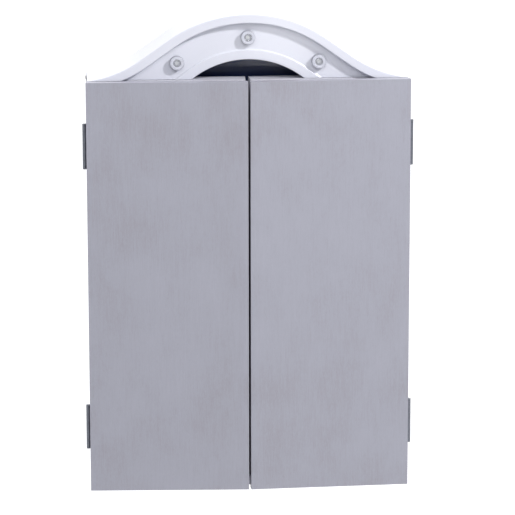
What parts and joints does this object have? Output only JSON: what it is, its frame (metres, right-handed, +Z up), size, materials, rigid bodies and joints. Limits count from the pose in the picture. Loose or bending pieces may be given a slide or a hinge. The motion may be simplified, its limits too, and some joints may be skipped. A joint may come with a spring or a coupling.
{
  "type": "dart board cabinet",
  "caption": "Wall cabinet with two tray doors, a lit arched hood and an electronic dart head with number ring, display and push buttons inside.",
  "frame": {"origin": "on the wall plane, straight behind the middle of the bull, at the centre of the four wall screws", "axes": "+Z up, +Y into the wall, doors face -Y, +X to the right of someone facing the doors"},
  "size_m": [0.5476, 0.1422, 0.802],
  "materials": {
    "grey_laminate": "grey paper laminate with a faint vertical grain",
    "brown_hardboard": "bare hardboard",
    "pine": "planed softwood",
    "navy_plastic": "moulded, semi-gloss",
    "black_plastic": "moulded, satin",
    "number_black": "satin black with raised white numbers",
    "web_plastic": "silver-grey moulded web",
    "score_colours": "alternating red and green",
    "single_colours": "alternating black and ivory",
    "pad_rubber": "moulded silicone mat",
    "clear_sheet": "printed film",
    "circuit_green": "solder mask",
    "module_grey": "moulded",
    "smoked_window": "smoked acrylic",
    "button_red": "moulded cap",
    "button_grey": "moulded cap",
    "white_plastic": "white moulding, soft gloss",
    "cover_plastic": "white sheet",
    "lamp_reflector": "vacuum-plated",
    "lamp_lens": "clear lens",
    "catch_brown": "moulded magnet case",
    "zinc_steel": "zinc-plated steel",
    "hinge_steel": "dull plated steel"
  },
  "bodies": {
    "cabinet": {"side_board_left": "grey_laminate", "side_board_right": "grey_laminate", "bottom_board": "grey_laminate", "top_rail": "grey_laminate", "back_board": "brown_hardboard", "fascia_battens": "pine", "fascia": "navy_plastic", "catch_ring": "black_plastic", "number_ring": "number_black", "spider_web": "web_plastic", "double_segments": "score_colours", "outer_single_segments": "single_colours", "triple_segments": "score_colours", "inner_single_segments": "single_colours", "sensor_pad": "pad_rubber", "sensor_sheet": "clear_sheet", "target_backplate": "black_plastic", "control_board": "circuit_green", "display_module": "module_grey", "display_window": "smoked_window", "speaker": "module_grey", "speaker_grille": "navy_plastic", "power_inlet": "black_plastic", "hood_shell": "white_plastic", "hood_back_cover": "cover_plastic", "lamp_bezels": "white_plastic", "lamp_reflectors": "lamp_reflector", "lamp_lenses": "lamp_lens", "lamp_boards": "circuit_green", "magnet_catches": "catch_brown", "cabinet_screws": "zinc_steel", "fascia_screws": "zinc_steel", "hood_screws": "zinc_steel", "left_frame_leaves": "hinge_steel", "left_hinge_pins": "hinge_steel", "right_frame_leaves": "hinge_steel", "right_hinge_pins": "hinge_steel", "hinge_frame_screws": "zinc_steel"},
    "left_door": {"left_door_panel": "grey_laminate", "left_tray_rails": "grey_laminate", "left_tray_stiles": "grey_laminate", "left_dart_rack": "black_plastic", "left_strike_plate": "zinc_steel", "left_door_leaves": "hinge_steel", "left_door_screws": "zinc_steel"},
    "right_door": {"right_door_panel": "grey_laminate", "right_tray_rails": "grey_laminate", "right_tray_stiles": "grey_laminate", "right_dart_rack": "black_plastic", "right_strike_plate": "zinc_steel", "right_door_leaves": "hinge_steel", "right_door_screws": "zinc_steel"},
    "button_power": {"button_power": "button_red"},
    "button_start": {"button_start": "button_grey"},
    "button_game": {"button_game": "button_grey"},
    "button_option": {"button_option": "button_grey"},
    "button_player": {"button_player": "button_grey"},
    "button_score": {"button_score": "button_grey"},
    "bull_ring": {"bull_ring": "score_colours"},
    "bull_centre": {"bull_centre": "score_colours"}
  },
  "joints": [
    {"name": "left_door_hinge", "type": "hinge", "parent": "cabinet", "child": "left_door", "pos_m": [-0.2706, -0.1135, 0], "axis": [0, 0, -1], "range_deg": [-2.8, 177.2]},
    {"name": "right_door_hinge", "type": "hinge", "parent": "cabinet", "child": "right_door", "pos_m": [0.2706, -0.1135, 0], "axis": [0, 0, 1], "range_deg": [-2.8, 177.2]},
    {"name": "button_power_press", "type": "slide", "parent": "cabinet", "child": "button_power", "axis": [0, 1, 0], "range_m": [0, 0.0012], "stiffness_N_per_m": 600},
    {"name": "button_start_press", "type": "slide", "parent": "cabinet", "child": "button_start", "axis": [0, 1, 0], "range_m": [0, 0.0012], "stiffness_N_per_m": 600},
    {"name": "button_game_press", "type": "slide", "parent": "cabinet", "child": "button_game", "axis": [0, 1, 0], "range_m": [0, 0.0012], "stiffness_N_per_m": 600},
    {"name": "button_option_press", "type": "slide", "parent": "cabinet", "child": "button_option", "axis": [0, 1, 0], "range_m": [0, 0.0012], "stiffness_N_per_m": 600},
    {"name": "button_player_press", "type": "slide", "parent": "cabinet", "child": "button_player", "axis": [0, 1, 0], "range_m": [0, 0.0012], "stiffness_N_per_m": 600},
    {"name": "button_score_press", "type": "slide", "parent": "cabinet", "child": "button_score", "axis": [0, 1, 0], "range_m": [0, 0.0012], "stiffness_N_per_m": 600},
    {"name": "bull_ring_press", "type": "slide", "parent": "cabinet", "child": "bull_ring", "axis": [0, 1, 0], "range_m": [0, 0.0008], "stiffness_N_per_m": 900},
    {"name": "bull_centre_press", "type": "slide", "parent": "cabinet", "child": "bull_centre", "axis": [0, 1, 0], "range_m": [0, 0.0008], "stiffness_N_per_m": 900}
  ]
}
